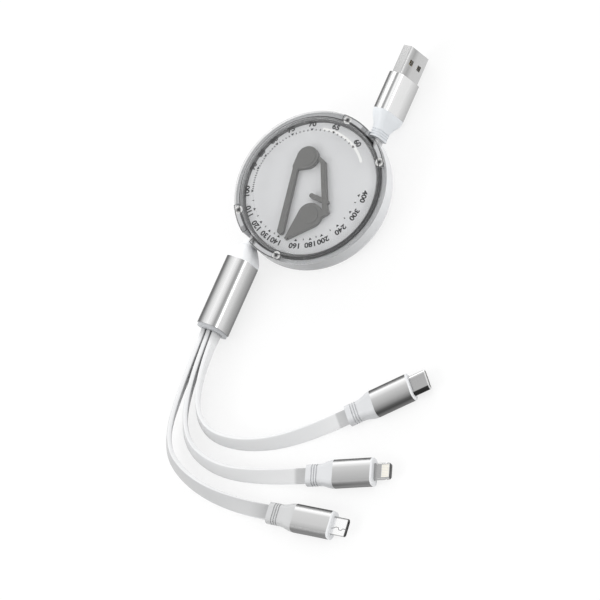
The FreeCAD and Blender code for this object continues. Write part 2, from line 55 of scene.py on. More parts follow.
def backWay(shot):
    # way from the object back to the camera: azimuth about z, then elevation above the floor
    a, e = math.radians(shot["azimuth"]), math.radians(shot["elevation"])
    return Vector((math.sin(a) * math.cos(e), -math.cos(a) * math.cos(e), math.sin(e)))


def placeCamera(shot):
    # away from the aim along the way back, rolled about it, with a lens that takes in the span at the aim
    a, r = math.radians(shot["azimuth"]), math.radians(shot["roll"])
    across = Vector((math.cos(a), math.sin(a), 0))
    back = backWay(shot)
    upward = back.cross(across)
    aim = Vector((0, 0, shot["aimHeight"])) + across * shot["aimAcross"] + upward * shot["aimUp"]
    right = across * math.cos(r) - upward * math.sin(r)
    top = across * math.sin(r) + upward * math.cos(r)
    data = bpy.data.cameras.new("camera")
    data.lens = data.sensor_width * shot["away"] / shot["span"]
    data.clip_end = shot["clip"]
    camera = bpy.data.objects.new("camera", data)
    turn = Matrix((right, top, back)).transposed()
    camera.matrix_world = Matrix.Translation(aim + back * shot["away"]) @ turn.to_4x4()
    scene.collection.objects.link(camera)
    scene.camera = camera


placeCamera(shot)


def addMesh(name, verts, faces, smooth=True):
    # mesh of points and faces, its object left at the origin
    mesh = bpy.data.meshes.new(name)
    mesh.from_pydata(verts.tolist(), [], faces)
    mesh.polygons.foreach_set("use_smooth", np.full(len(mesh.polygons), smooth))
    obj = bpy.data.objects.new(name, mesh)
    scene.collection.objects.link(obj)
    return obj


def tubeFaces(rows, cols):
    # quads of a grid that closes round its columns, and a cap at each end
    i, j = np.meshgrid(np.arange(rows - 1), np.arange(cols), indexing="ij")
    k = (j + 1) % cols
    quads = np.stack([i * cols + j, i * cols + k, (i + 1) * cols + k, (i + 1) * cols + j], -1)
    caps = [list(range(cols))[::-1], list(range((rows - 1) * cols, rows * cols))]
    return quads.reshape(-1, 4).tolist() + caps


def sheetFaces(rows, cols):
    # quads of a grid that stays open all round
    i, j = np.meshgrid(np.arange(rows - 1), np.arange(cols - 1), indexing="ij")
    first = i * cols + j
    return np.stack([first, first + 1, first + cols + 1, first + cols], -1).reshape(-1, 4)


def curveMesh(curve):
    # points and faces of a curve or a text, with nothing left in the scene
    holder = bpy.data.objects.new(curve.name, curve)
    mesh = bpy.data.meshes.new_from_object(holder)
    co = np.empty(len(mesh.vertices) * 3)
    mesh.vertices.foreach_get("co", co)
    faces = [list(p.vertices) for p in mesh.polygons]
    bpy.data.objects.remove(holder)
    bpy.data.meshes.remove(mesh)
    return co.reshape(-1, 3), faces


routeLook = {"order": 3, "steps": 40}


def routeLine(name, points):
    # the smooth line of a cord: a NURBS spline on its route's control points
    curve = bpy.data.curves.new(name + "Route", "CURVE")
    curve.dimensions = "3D"
    spline = curve.splines.new("NURBS")
    spline.points.add(len(points) - 1)
    for spot, co in zip(spline.points, points):
        spot.co = (*co, 1)
    spline.order_u = routeLook["order"]
    spline.use_endpoint_u = True
    spline.resolution_u = routeLook["steps"]
    return curveMesh(curve)[0]


def evenLine(line, count):
    # the line at even steps of its own length, and that length
    step = np.linalg.norm(np.diff(line, axis=0), axis=1)
    run = np.concatenate([[0], np.cumsum(step)])
    even = np.linspace(0, run[-1], count)
    return np.stack([np.interp(even, run, line[:, k]) for k in range(3)], 1), run[-1]


def squared(wave, corner):
    # a sine or cosine to the power two over corner, which squares off a circle
    return np.sign(wave) * np.abs(wave) ** (2 / corner)


def ribbonVerts(line, twist, look):
    # flat cord: a superellipse of width and thickness carried along the line, turned about it by twist
    along = np.gradient(line, axis=0)
    along /= np.linalg.norm(along, axis=1, keepdims=True)
    left = np.cross([0, 0, 1], along)
    left /= np.linalg.norm(left, axis=1, keepdims=True)
    upright = np.cross(along, left)
    c, s = np.cos(twist)[:, None], np.sin(twist)[:, None]
    edgeWay = upright * c + left * s
    faceWay = upright * s - left * c
    t = np.linspace(0, 2 * np.pi, look["cols"], endpoint=False)
    across = squared(np.cos(t), look["corner"]) * look["wide"] / 2
    through = squared(np.sin(t), look["corner"]) * look["thin"] / 2
    grid = line[:, None] + edgeWay[:, None] * across[:, None] + faceWay[:, None] * through[:, None]
    return grid.reshape(-1, 3)


# three flat cords: on edge at the splitter, turning to lie flat at their plugs;
# painted light and shade on them: a pale edge, a greyer face, and a painted shadow near each end,
# which is its tone, how far from that end it is full, and how far off it has gone
cordLook = {"wide": 0.006, "thin": 0.002, "rows": 240, "cols": 44, "corner": 5.0,
            "turn": (0.48, 0.6, 0.52, 5.0), "edgePaintedLight": 0.84, "edgeBlend": (0.12, 0.52),
            "capPaintedShadow": (0.64, 0.0004, 0.0045), "pathStep": 4}
cordRoutes = {
    "typeCCord": {
        "node": "type_c_cord", "plug": "type_c",
        "facePaintedShade": (0.59, 0.71), "innerPaintedShade": 0.86, "plugPaintedShadow": (0.70, 0.0038, 0.0046),
        "points": [(-0.0651, 0.0138, 0.0070), (-0.0841, 0.0138, 0.0068), (-0.1021, 0.0045, 0.0058),
                   (-0.1032, -0.0138, 0.0045), (-0.0925, -0.0359, 0.0032), (-0.0780, -0.0511, 0.0031)]},
    "eightPinCord": {
        "node": "eight_pin_cord", "plug": "eight_pin",
        "facePaintedShade": (0.59, 0.67), "innerPaintedShade": 0.5, "plugPaintedShadow": (0.67, 0.0040, 0.0054),
        "points": [(-0.0651, 0.0162, 0.0070), (-0.0856, 0.0162, 0.0068), (-0.1081, 0.0093, 0.0059),
                   (-0.1150, -0.0079, 0.0045), (-0.1107, -0.0297, 0.0032), (-0.1045, -0.0455, 0.0031)]},
    "microBCord": {
        "node": "micro_b_cord", "plug": "micro_b",
        "facePaintedShade": (0.44, 0.53), "innerPaintedShade": 0.5, "plugPaintedShadow": (0.80, 0.0012, 0.0080),
        "points": [(-0.0651, 0.0186, 0.0070), (-0.0886, 0.0186, 0.0068), (-0.1126, 0.0154, 0.0059),
                   (-0.1221, 0.0018, 0.0046), (-0.1250, -0.0202, 0.0032), (-0.1227, -0.0370, 0.0031)]},
}
cords = {}


def cordTwist(part):
    # a quarter turn over the length: one power of the way along that starts early, and one that comes late
    early, earlyPower, late, latePower = cordLook["turn"]
    return (early * part ** earlyPower + late * part ** latePower) * math.pi / 2


def cordTone(route, part, length):
    # painted light and shade: thin edges painted pale, the outer face painted greyer as shade, the inner
    # face to its own painted shade, and painted shadow close to the splitter and the plug
    part, t = np.meshgrid(part, np.linspace(0, 2 * np.pi, cordLook["cols"], False), indexing="ij")
    start, end = cordLook["edgeBlend"]
    face = np.clip((np.sin(t) ** 2 - start) / (end - start), 0, 1)
    first, last = route["facePaintedShade"]
    side = np.where(np.sin(t) > 0, first + (last - first) * part, route["innerPaintedShade"])
    tone = cordLook["edgePaintedLight"] + (side - cordLook["edgePaintedLight"]) * face
    for away, shade in ((1 - part, route["plugPaintedShadow"]), (part, cordLook["capPaintedShadow"])):
        dark, full, gone = shade
        far = np.clip((away * length - full) / (gone - full), 0, 1)
        tone *= dark * (1 - far) + far
    return tone.reshape(-1)


for name, route in cordRoutes.items():
    line, length = evenLine(routeLine(name, route["points"]), cordLook["rows"])
    part = np.linspace(0, 1, cordLook["rows"])
    verts = ribbonVerts(line, cordTwist(part), cordLook)
    cord = addMesh(name, verts, tubeFaces(cordLook["rows"], cordLook["cols"]))
    # the tone attribute holds the painted light and shade at each point of the cord
    tone = cord.data.attributes.new("tone", "FLOAT", "POINT")
    tone.data.foreach_set("value", cordTone(route, part, length))
    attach(cord, "tail_end")
    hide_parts(route["node"])
    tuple(route["points"][0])
    cords[name] = cord
    print(name, "length", round(length, 4))

# leads that come out of the case and run to the plug end
leadLook = {"wide": 0.0054, "thin": 0.0015, "rows": 60, "cols": 32, "corner": 5.0, "height": 0.0057,
            "route": [(0.01212, -0.02192), (0.02248, -0.0162), (0.0272, -0.0162)],
            "stretch": (0.0238, 0.0268),
            "sides": (("wideLead", "type_a_lead", "type_a_end", 1),
                      ("tailLead", "tail_lead", "tail_end", -1))}
leads = {}
for name, node, body, sign in leadLook["sides"]:
    points = [(sign * x, sign * y, leadLook["height"]) for x, y in leadLook["route"]]
    line, length = evenLine(routeLine(name, points), leadLook["rows"])
    verts = ribbonVerts(line, np.zeros(len(line)), leadLook)
    lead = addMesh(name, verts, tubeFaces(leadLook["rows"], leadLook["cols"]))
    ends = [(sign * x, sign * leadLook["route"][-1][1], leadLook["height"]) for x in leadLook["stretch"]]
    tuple(ends[0])
    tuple(ends[1])
    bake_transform(lead)
    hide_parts(node)
    leads[name] = lead
print("leads done")

# speed scale printed on the clear cover, and a painted highlight arc beside its first marks
printLook = {"first": -31.0, "slowest": 60, "height": 0.01443,
             "labels": (60, 65, 70, 75, 80, 85, 90, 100, 110, 120, 130, 140, 160, 180, 200, 240, 300, 400),
             "ticks": (*range(61, 100), 105, 115, 125, 135, 150, 170, 190, 220, 270, 350),
             "textRadius": 0.02505, "textSize": 0.0029, "textBold": 0.00011, "textWide": 1.14,
             "textSteps": 4, "markIn": 0.02225, "markOut": 0.02325, "markWide": 0.0013,
             "tickWide": 0.00036, "tickShare": 0.75,
             "arcFrom": -50.5, "arcTo": 9.0, "arcIn": (0.0226, 0.0228), "arcOut": 0.0237,
             "arcHeight": 0.014412, "arcGrid": (48, 3)}


def scaleAngle(value):
    # a value stands clockwise of the first by a whole turn times the slowest over the value
    return math.radians(printLook["first"] + 360 * (1 - printLook["slowest"] / value))


def polarVerts(radius, angle, height):
    # points at a radius and an angle about z, all at one height
    return np.stack([radius * np.cos(angle), radius * np.sin(angle), np.full_like(radius, height)], -1)


def textShape(words):
    # flat figures about their own middle, thickened by an offset
    curve = bpy.data.curves.new("figure", "FONT")
    curve.body = words
    curve.size = printLook["textSize"]
    curve.offset = printLook["textBold"]
    curve.align_x = "CENTER"
    curve.align_y = "CENTER"
    curve.resolution_u = printLook["textSteps"]
    return curveMesh(curve)


def dialPrint():
    # figures bent round the dial, a wedge at each figure and short ticks between them
    verts, faces, count = [], [], 0

    def keep(radius, angle, polygons):
        nonlocal count
        verts.append(polarVerts(radius, angle, printLook["height"]))
        faces.extend([[i + count for i in p] for p in polygons])
        count += len(radius)

    inner, outer = printLook["markIn"], printLook["markOut"]
    half = printLook["markWide"] / 2 / inner
    for value in printLook["labels"]:
        angle = scaleAngle(value)
        co, polygons = textShape(str(value))
        bend = co[:, 0] * printLook["textWide"] / printLook["textRadius"]
        keep(printLook["textRadius"] + co[:, 1], angle - bend, polygons)
        keep(np.array([inner, outer, outer]), angle + np.array([0, -half, half]), [[0, 1, 2]])
    half = printLook["tickWide"] / 2 / inner
    end = inner + (outer - inner) * printLook["tickShare"]
    for value in printLook["ticks"]:
        if value not in printLook["labels"]:
            angle = scaleAngle(value) + np.array([-half, -half, half, half])
            keep(np.array([inner, end, end, inner]), angle, [[0, 1, 2, 3]])
    return addMesh("dialPrint", np.concatenate(verts), faces, False)


def dialArc():
    # painted highlight: a white arc beside the first marks, its radius between two edges, the inner one
    # closing in along the arc
    rows, cols = printLook["arcGrid"]
    along, across = np.meshgrid(np.linspace(0, 1, rows), np.linspace(0, 1, cols), indexing="ij")
    inner = printLook["arcIn"][0] + (printLook["arcIn"][1] - printLook["arcIn"][0]) * along
    angle = np.radians(printLook["arcFrom"] + (printLook["arcTo"] - printLook["arcFrom"]) * along)
    verts = polarVerts(inner + (printLook["arcOut"] - inner) * across, angle, printLook["arcHeight"])
    return addMesh("dialArc", verts.reshape(-1, 3), sheetFaces(rows, cols).tolist(), False)


scalePrint, paintedScaleHighlight = dialPrint(), dialArc()
for piece, slot in ((scalePrint, "black_plastic"), (paintedScaleHighlight, "inlay_white")):
    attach(piece, "case")
print("scale printed")

# painted shade and painted highlight where the clear rim bends the light, as flat arcs and discs in
# millimetres: dark lines and a dark ring are painted shade, the soft shine is painted highlight;
# an arc is its two radii, height and two angles, a disc its angle about the case, radius and height
rimArcs = {"dark": [(28.85, 29.2, 12.42, -180, 180), (27.4, 28.5, 10.75, -180, 180)],
           "pale": [], "soft": []}
rimDiscs = {"dark": [], "pale": [], "soft": []}
# lugs beside the two cord exits: angle of the exit, side of it, and angle to the lug's far end
lugSpans = {"exits": ((-30.95, -1, 28.0), (-30.95, 1, 28.0), (149.05, -1, 28.0), (149.05, 1, 34.4)),
            "near": 4.5, "screwBack": 4.6, "radius": (29.15, 31.3), "line": 0.24, "height": 12.97,
            "shine": (29.6, 31.0, 12.96), "shineFrom": 9.5, "shineGap": 3.2,
            "screwAt": 29.8, "screw": {"pale": (1.7, 12.82), "dark": (0.6, 12.87)}, "steps": 180}


def arcVerts(inner, outer, height, start, end, count):
    # flat arc: radius between two edges, angle from start to end
    turn = np.radians(np.linspace(start, end, count))
    angle, across = np.meshgrid(turn, np.array([0.0, 1.0]), indexing="ij")
    return polarVerts(inner + (outer - inner) * across, angle, height).reshape(-1, 3) / mmPerMetre


def arcMesh(name, arcs, discs, count):
    # arcs about the case, and discs that are closed arcs about a screw, from its middle to the disc's edge
    verts = [arcVerts(*arc, count) for arc in arcs]
    for angle, radius, level in discs:
        middle = polarVerts(np.array(lugSpans["screwAt"]), math.radians(angle), 0.0) / mmPerMetre
        verts.append(arcVerts(0, radius, level, 0, 360, count) + middle)
    faces = [sheetFaces(count, 2) + 2 * count * k for k in range(len(verts))]
    return addMesh(name, np.concatenate(verts), np.concatenate(faces).tolist(), False)


# each lug: dark outlines as painted shade, a soft shine as painted highlight, a pale disc and a dark dot
# over its screw
for exitAngle, side, far in lugSpans["exits"]:
    ends = sorted((exitAngle + side * lugSpans["near"], exitAngle + side * far))
    inner, outer = lugSpans["radius"]
    line, height = lugSpans["line"], lugSpans["height"]
    tilt = math.degrees(line / outer)
    rimArcs["dark"] += [(inner, inner + line, height, *ends), (outer - line, outer, height, *ends)]
    for start in (ends[0], ends[1] - tilt):
        rimArcs["dark"].append((inner, outer, height, start, start + tilt))
    screw = exitAngle + side * (far - lugSpans["screwBack"])
    shine = sorted((exitAngle + side * lugSpans["shineFrom"], screw - side * lugSpans["shineGap"]))
    rimArcs["soft"].append((*lugSpans["shine"], *shine))
    for tone, (radius, level) in lugSpans["screw"].items():
        rimDiscs[tone].append((screw, radius, level))
rings = {}
for tone, arcs in rimArcs.items():
    rings[tone] = arcMesh(tone + "RimLines", arcs, rimDiscs[tone], lugSpans["steps"])
    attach(rings[tone], "case")

# where the plugs and the splitter lie: a point on the axis, heading and tip about it in degrees
plugPlaces = {
    "wide": {"at": (0.0272, -0.0162, 0.0071), "heading": 0, "tip": 77},
    "split": {"at": (-0.0272, 0.0162, 0.0070), "heading": 180, "tip": 90},
    "typeC": {"at": cordRoutes["typeCCord"]["points"][-1], "heading": -46.5, "tip": 0},
    "eightPin": {"at": cordRoutes["eightPinCord"]["points"][-1], "heading": -68.6, "tip": 0},
    "microB": {"at": cordRoutes["microBCord"]["points"][-1], "heading": -82.1, "tip": 0},
}


def headingWays(place):
    # ways along a piece and to its left, from its heading
    h = math.radians(place["heading"])
    return Vector((math.cos(h), math.sin(h), 0)), Vector((-math.sin(h), math.cos(h), 0))


# folded seam on top of the micro plug: along the plug and across it to the right, in millimetres
seamLook = {"height": 0.00404, "wide": 0.00022,
            "line": ((27.3, 1.2), (28.2, 1.0), (28.8, 0.5), (29.9, 0.5),
                     (30.4, 1.4), (31.3, 1.4), (31.8, 0.7), (33.0, 0.7))}


def foldSeam(place):
    # a thin strip about a broken line, set off to both sides across the line's way
    line = np.array(seamLook["line"]) / mmPerMetre
    turn = np.gradient(line, axis=0)
    turn /= np.linalg.norm(turn, axis=1, keepdims=True)
    off = np.stack([-turn[:, 1], turn[:, 0]], 1) * seamLook["wide"] / 2
    flat = np.stack([line - off, line + off], 1).reshape(-1, 2)
    along, left = [np.array(way) for way in headingWays(place)]
    verts = np.array(place["at"]) + flat[:, :1] * along - flat[:, 1:] * left
    verts[:, 2] = seamLook["height"]
    return addMesh("foldSeam", verts, sheetFaces(len(line), 2)[:, ::-1].tolist(), False)


seam = foldSeam(plugPlaces["microB"])
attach(seam, "tail_end")
print("lines drawn")


class Sock:
    # one shader socket: sums on it add Math nodes, and add() makes any other node
    def __init__(self, tree, socket=None):
        self.tree, self.socket = tree, socket

    def add(self, kind, settings=None, values=None, out=0):
        node = self.tree.nodes.new(kind)
        for key, value in (settings or {}).items():
            if key == "stops":
                ends = node.color_ramp.elements
                ends[0].position, ends[1].position = value[0][0], value[-1][0]
                ends[0].color, ends[1].color = [(v, v, v, 1) for v in (value[0][1], value[-1][1])]
                for spot, tone in value[1:-1]:
                    ends.new(spot).color = (tone, tone, tone, 1)
            else:
                setattr(node, key, value)
        for key, value in (values or {}).items():
            if isinstance(value, Sock):
                self.tree.links.new(value.socket, node.inputs[key])
            else:
                node.inputs[key].default_value = value
        return Sock(self.tree, node.outputs[out])

    def sum(self, operation, first, second):
        return self.add("ShaderNodeMath", {"operation": operation}, {0: first, 1: second})

    def __add__(self, other):
        return self.sum("ADD", self, other)

    def __sub__(self, other):
        return self.sum("SUBTRACT", self, other)

    def __rsub__(self, other):
        return self.sum("SUBTRACT", other, self)

    def __mul__(self, other):
        return self.sum("MULTIPLY", self, other)

    def __pow__(self, other):
        return self.sum("POWER", self, other)

    __radd__ = __add__
    __rmul__ = __mul__

    def feed(self, node, key):
        self.tree.links.new(self.socket, node.inputs[key])


def newSurface(name):
    # a material, a start for its nodes, and its shader
    material = bpy.data.materials.new(name)
    material.use_nodes = True
    tree = material.node_tree
    return material, Sock(tree), tree.nodes["Principled BSDF"]


def towards(vector, way):
    # how far a vector reaches along a way: their dot product
    return vector.add("ShaderNodeVectorMath", {"operation": "DOT_PRODUCT"}, {0: vector, 1: way}, "Value")


def ranged(value, ends, tones=(0.0, 1.0), kind="LINEAR"):
    # a value from one end to the other, as a tone from the first to the second
    limits = {"From Min": ends[0], "From Max": ends[1], "To Min": tones[0], "To Max": tones[1]}
    return value.add("ShaderNodeMapRange", {"interpolation_type": kind}, {"Value": value, **limits})


def mixed(base, share, first, second, kind="MIX"):
    # the first colour with a share of the second
    settings = {"data_type": "RGBA", "blend_type": kind}
    return base.add("ShaderNodeMix", settings, {0: share, 6: first, 7: second}, 2)


grain = {"cloudScale": 60.0, "grainScale": 2600.0, "detail": 2.0, "bumpDepth": 0.00002, "coatRough": 0.08,
         "metalVary": 0.05, "metalBump": 0.01}


def noise(place, scale):
    # noise from nought to one over a piece, about one half
    values = {"Vector": place, "Scale": scale, "Detail": grain["detail"]}
    return place.add("ShaderNodeTexNoise", values=values)


def bumped(shader, fine, strength):
    # fine noise as a very shallow height
    values = {"Height": fine, "Strength": strength, "Distance": grain["bumpDepth"]}
    fine.add("ShaderNodeBump", values=values).feed(shader, "Normal")


# plain skins: colour, how much it clouds, roughness and its grain, gloss coat, metal, bump;
# painted shade on some: darker by the way a skin faces, and the dial darker by its distance from its middle
plain = {"cloud": 0.03, "rough": 0.4, "vary": 0.1, "coat": 0, "metal": 0, "bump": 0.02}
flex = {**plain, "rough": 0.5, "vary": 0.12}
boot = {**plain, "bump": 0.05}
plated = {**plain, "cloud": 0.05, "metal": 1}
# the way the lower sides of the small boots face, which gets painted shade
paintedLowShade = {"way": (-0.9, -0.28, -0.34), "ends": (-0.4, 0.5)}
skins = {
    "whiteShell": {**plain, "colour": (0.82, 0.83, 0.845), "cloud": 0.02, "rough": 0.25, "vary": 0.08,
                   "coat": 0.2,
                   "paintedFacingShade": {"way": (0.77, -0.64, 0), "ends": (-0.4, 0.85), "tones": (0.36, 0.93)}},
    "flatCord": {**flex, "colour": (0.975, 0.985, 1.0), "bump": 0.06, "tone": "tone"},
    "cordWhite": {**flex, "colour": (0.70, 0.70, 0.705), "cloud": 0.04, "bump": 0.08},
    "bootWhite": {**boot, "colour": (0.76, 0.77, 0.785)},
    "bootWide": {**boot, "colour": (0.74, 0.765, 0.79)},
    # the splitter's boot, the same white painted lighter than the other boots as painted light
    "bootSplit": {**boot, "colour": (0.92, 0.93, 0.945)},
    "bootSmall": {**boot, "colour": (0.76, 0.77, 0.785), "paintedFacingShade": {**paintedLowShade, "tones": (0.86, 0.68)}},
    "bootMicro": {**boot, "colour": (0.76, 0.765, 0.77), "paintedFacingShade": {**paintedLowShade, "tones": (0.75, 0.58)}},
    # the splitter's end cap: its white painted down to grey as shade
    "capWhite": {**boot, "colour": (0.45, 0.46, 0.475), "rough": 0.45},
    "dialGrey": {**plain, "colour": (0.735, 0.74, 0.75), "cloud": 0.04, "rough": 0.45, "bump": 0.03,
                 "paintedEdgeShade": {"ends": (0.0262, 0.0292), "tones": (1.0, 0.84)}},
    # painted highlight on the lugs of the clear rim
    "rimShine": {**plain, "colour": (0.47, 0.475, 0.485), "cloud": 0.2},
    "darkDeck": {**plain, "colour": (0.035, 0.035, 0.036), "cloud": 0.15, "bump": 0.05},
    "leverGrey": {**plain, "colour": (0.111, 0.110, 0.104), "cloud": 0.06, "rough": 0.42, "bump": 0.04},
    "steel": {**plated, "colour": (0.58, 0.58, 0.575), "cloud": 0.04, "rough": 0.26},
    "screwSteel": {**plated, "colour": (0.34, 0.34, 0.34), "rough": 0.3},
    "gold": {**plated, "colour": (0.80, 0.68, 0.42), "rough": 0.25},
    "paleGold": {**plated, "colour": (0.86, 0.825, 0.73), "rough": 0.3, "metal": 0.3},
    "reelGrey": {**plain, "colour": (0.4, 0.4, 0.41), "cloud": 0.05, "bump": 0.03},
    "inlayWhite": {**plain, "colour": (0.72, 0.72, 0.71), "rough": 0.45},
    "blackPlastic": {**plain, "colour": (0.02, 0.02, 0.02), "cloud": 0.1},
    "printBlack": {**plain, "colour": (0.02, 0.02, 0.021), "cloud": 0.05, "rough": 0.45, "bump": 0.0},
}


def skinTones(base, place, look):
    # painted shade on a skin: by the way it faces, by its own attribute, by its distance from the middle of
    # the dial
    if "paintedFacingShade" in look:
        facing = towards(base.add("ShaderNodeTexCoord", out="Normal"), look["paintedFacingShade"]["way"])
        yield ranged(facing, look["paintedFacingShade"]["ends"], look["paintedFacingShade"]["tones"])
    if "tone" in look:
        yield base.add("ShaderNodeAttribute", {"attribute_name": look["tone"]}, out="Fac")
    if "paintedEdgeShade" in look:
        away = base.add("ShaderNodeVectorMath", {"operation": "LENGTH"}, {0: place}, "Value")
        yield ranged(away, look["paintedEdgeShade"]["ends"], look["paintedEdgeShade"]["tones"])


def skinMaterial(name, look):
    # colour clouded by slow noise, then times each painted shade; roughness and bump from fine noise
    material, base, shader = newSurface(name)
    place = base.add("ShaderNodeTexCoord", out="Object")
    clouds, fine = noise(place, grain["cloudScale"]), noise(place, grain["grainScale"])
    dark = (*[v * (1 - look["cloud"]) for v in look["colour"]], 1)
    lift = (*[min(1, v * (1 + look["cloud"])) for v in look["colour"]], 1)
    colour = mixed(base, clouds, dark, lift)
    for tone in skinTones(base, place, look):
        colour = mixed(base, 1.0, colour, tone, "MULTIPLY")
    colour.feed(shader, "Base Color")
    (look["rough"] + (fine - 0.5) * look["vary"]).feed(shader, "Roughness")
    shader.inputs["Metallic"].default_value = look["metal"]
    shader.inputs["Coat Weight"].default_value = look["coat"]
    shader.inputs["Coat Roughness"].default_value = grain["coatRough"]
    if look["bump"]:
        bumped(shader, fine, look["bump"])
    return material


materials = {name: skinMaterial(name, look) for name, look in skins.items()}

# metal with painted reflections: its tone runs in bands across the piece as the camera sees it; minus one
# is its upper edge, one its lower; size is width, thickness and corner; end is the last stretch towards
# the tip, painted pale as highlight on the type-C shell and dark as shade on the others: where it starts,
# where it is full, and its tone
smallSleeve = {"size": (0.0108, 0.0062, 0.0024), "rough": 0.5}
paintedReflectionBands = {
    "alloyWide": {"place": "wide", "size": (0.0139, 0.0076, 0.0026), "rough": 0.25,
                  "stops": ((-1, 0.05), (-0.9, 0.24), (-0.74, 0.92), (-0.64, 0.93), (-0.55, 0.34),
                            (-0.49, 0.36), (-0.4, 0.96), (-0.2, 0.79), (0.45, 0.77), (1, 0.48))},
    "alloySplit": {"place": "split", "size": (0.0140, 0.0106, 0.0040), "rough": 0.25,
                   "stops": ((-1, 0.03), (-0.88, 0.18), (-0.68, 0.66), (-0.44, 0.9), (-0.26, 0.74),
                             (-0.05, 0.32), (0.04, 0.38), (0.14, 0.8), (0.2, 0.79), (0.3, 0.7),
                             (0.46, 0.66), (0.64, 0.46), (0.9, 0.28), (1, 0.08))},
    "tipA": {"place": "wide", "size": (0.0120, 0.0045, 0.00055), "rough": 0.22,
             "stops": ((-1, 0.48), (-0.42, 0.52), (-0.36, 0.75), (-0.28, 0.5), (-0.05, 0.38),
                       (0.25, 0.56), (1, 0.6))},
    "satinC": {"place": "typeC", **smallSleeve,
               "stops": ((-1, 0.03), (-0.86, 0.2), (-0.74, 0.95), (-0.58, 0.74), (-0.36, 0.53),
                         (0.1, 0.38), (0.34, 0.24), (0.54, 0.1), (0.68, 0.07), (1, 0.2))},
    "satinEight": {"place": "eightPin", **smallSleeve,
                   "stops": ((-1, 0.05), (-0.88, 0.26), (-0.78, 0.96), (-0.65, 0.76), (-0.48, 0.57),
                             (-0.15, 0.49), (0.3, 0.42), (0.45, 0.33), (0.58, 0.22), (0.68, 0.21),
                             (0.86, 0.25), (1, 0.14))},
    "satinMicro": {"place": "microB", **smallSleeve,
                   "stops": ((-1, 0.05), (-0.85, 0.26), (-0.74, 0.95), (-0.64, 0.82), (-0.52, 0.6),
                             (0.15, 0.55), (0.38, 0.46), (0.56, 0.25), (0.66, 0.2), (0.85, 0.24),
                             (1, 0.16))},
    "tipC": {"place": "typeC", "size": (0.00834, 0.00256, 0.00127), "rough": 0.22,
             "end": (0.0333, 0.0337, 0.8),
             "stops": ((-1, 0.3), (-0.88, 0.8), (-0.72, 0.42), (0.48, 0.42), (0.54, 0.03), (1, 0.02))},
    "tipEight": {"place": "eightPin", "size": (0.0067, 0.0015, 0.0003), "rough": 0.26,
                 "end": (0.0333, 0.0336, 0.08), "stops": ((-1, 0.42), (1, 0.42))},
    "tipMicro": {"place": "microB", "size": (0.00685, 0.00185, 0.0003), "rough": 0.22,
                 "end": (0.0328, 0.0331, 0.06),
                 "stops": ((-1, 0.12), (-0.92, 0.5), (-0.84, 0.96), (0.82, 0.96), (0.92, 0.08), (1, 0.05))},
}


def acrossPiece(place, size):
    # way across the piece that lies in the picture, and half the width of its rounded outline that way
    axis, left = headingWays(place)
    up, tip = Vector((0, 0, 1)), math.radians(place["tip"])
    way = axis.cross(backWay(shot)).normalized()
    way *= -1 if way.z > 0 else 1
    wide, thin, corner = size
    half = abs(way.dot(left * math.cos(tip) + up * math.sin(tip))) * (wide / 2 - corner) + corner
    half += abs(way.dot(up * math.cos(tip) - left * math.sin(tip))) * (thin / 2 - corner)
    return way, half


def bandMaterial(name, look):
    # painted reflection bands: tone by the place across the piece, moved from minus one to one onto the
    # ramp's nought to one
    material, base, shader = newSurface(name)
    place = base.add("ShaderNodeTexCoord", out="Object")
    piece = plugPlaces[look["place"]]
    middle = Vector(piece["at"])
    way, half = acrossPiece(piece, look["size"])
    spot = (towards(place, way) - way.dot(middle)) * (0.5 / half) + 0.5
    stops = [((at + 1) / 2, tone) for at, tone in look["stops"]]
    tone = base.add("ShaderNodeValToRGB", {"stops": stops}, {0: spot})
    if "end" in look:
        start, full, endTone = look["end"]
        axis = headingWays(piece)[0]
        last = ranged(towards(place, axis) - axis.dot(middle), (start, full))
        tone = mixed(base, last, tone, (endTone, endTone, endTone, 1))
    tone.feed(shader, "Base Color")
    fine = noise(place, grain["grainScale"])
    (look["rough"] + (fine - 0.5) * grain["metalVary"]).feed(shader, "Roughness")
    bumped(shader, fine, grain["metalBump"])
    shader.inputs["Metallic"].default_value = 1
    return material


for name, look in paintedReflectionBands.items():
    materials[name] = bandMaterial(name, look)

# clear cover: light passes straight on, with gloss that grows towards grazing angles
clearLook = {"tint": (0.98, 0.98, 0.98, 1), "edgeTint": (0.38, 0.38, 0.385, 1), "edgeBlend": 0.5,
             "edgePower": 3.0, "body": (0.9, 0.91, 0.92, 1), "rough": 0.05, "shine": 1.0,
             "gloss": 0.05, "grazing": 0.7}


def clearMaterial(look):
    # edge is the facing angle to a power: it mixes the two tints, and adds to the share of gloss
    material, base, shader = newSurface("clearPlastic")
    facing = base.add("ShaderNodeLayerWeight", values={"Blend": look["edgeBlend"]}, out="Facing")
    edge = facing ** look["edgePower"]
    tints = (look["tint"], look["edgeTint"])
    middle, rim = [base.add("ShaderNodeBsdfTransparent", values={0: tint}) for tint in tints]
    clear = base.add("ShaderNodeMixShader", values={0: edge, 1: middle, 2: rim})
    shader.inputs["Base Color"].default_value = look["body"]
    shader.inputs["Roughness"].default_value = look["rough"]
    shader.inputs["Specular IOR Level"].default_value = look["shine"]
    amount = look["gloss"] + edge * look["grazing"]
    gloss = Sock(base.tree, shader.outputs[0])
    both = base.add("ShaderNodeMixShader", values={0: amount, 1: clear, 2: gloss})
    both.feed(base.tree.nodes["Material Output"], "Surface")
    return material


materials["clear"] = clearMaterial(clearLook)

